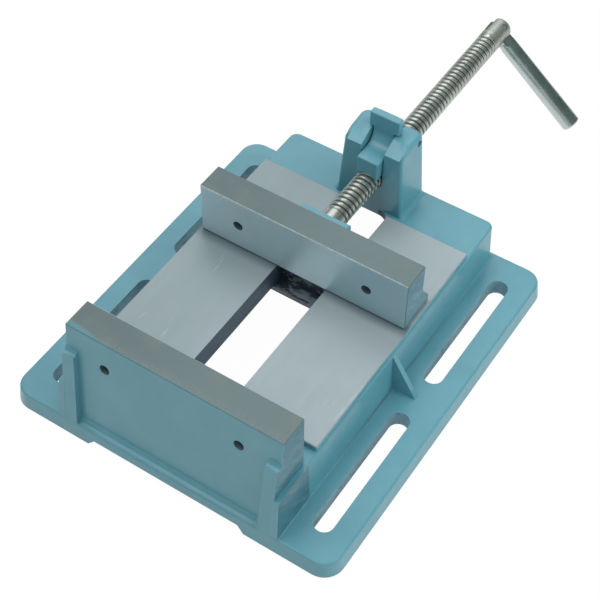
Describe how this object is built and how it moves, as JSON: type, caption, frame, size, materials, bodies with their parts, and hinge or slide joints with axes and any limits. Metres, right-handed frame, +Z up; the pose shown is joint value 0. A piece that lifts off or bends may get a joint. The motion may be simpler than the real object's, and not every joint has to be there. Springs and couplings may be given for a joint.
{
  "type": "drill press vise",
  "caption": "Drill press vise: slotted cast base with a fixed jaw, and a sliding jaw on two ways, moved by a lead screw with a folding handle and a hinged half nut.",
  "frame": {"origin": "under the middle of the bounding box, on the plane of the drill press table", "axes": "+Y from the fixed jaw towards the handle, +Z up from the table, +X across the jaws"},
  "size_m": [0.2354, 0.4093, 0.1097],
  "materials": {
    "blue_grey_paint": "smooth enamel on cast iron, with bare machined faces",
    "turned_steel": "turned, lightly oiled",
    "zinc_plate": "bright zinc plate",
    "dark_steel": "dark, oiled"
  },
  "bodies": {
    "base": {"base_casting": "blue_grey_paint", "nut_pivot_pin": "turned_steel"},
    "jaw": {"sliding_jaw": "blue_grey_paint", "keeper_plate": "dark_steel", "keeper_washer_left": "dark_steel", "keeper_washer_right": "dark_steel", "keeper_bolt_left": "dark_steel", "keeper_bolt_right": "dark_steel", "screw_retaining_pin_left": "turned_steel", "screw_retaining_pin_right": "turned_steel"},
    "screw": {"lead_screw": "turned_steel", "handle_pin": "turned_steel"},
    "handle": {"handle_bar": "zinc_plate"},
    "nut": {"half_nut": "blue_grey_paint"}
  },
  "joints": [
    {"name": "jaw_slide", "type": "slide", "parent": "base", "child": "jaw", "axis": [0, 1, 0], "range_m": [-0.1111, 0.042]},
    {"name": "screw_turn", "type": "hinge", "parent": "jaw", "child": "screw", "pos_m": [0, 0.19653, 0.068], "axis": [0, 1, 0], "range_deg": [-9990, 3770]},
    {"name": "handle_fold", "type": "hinge", "parent": "screw", "child": "handle", "pos_m": [0, 0.19653, 0.068], "axis": [0.628, 0, 0.7782], "range_deg": [0, 180]},
    {"name": "nut_release", "type": "hinge", "parent": "base", "child": "nut", "pos_m": [0, 0.04543, 0.0928], "axis": [1, 0, 0], "range_deg": [-28, 0]}
  ],
  "couplings": [
    {"joint": "jaw_slide", "follows": "screw_turn", "m_per_rad": 0.00063662}
  ]
}
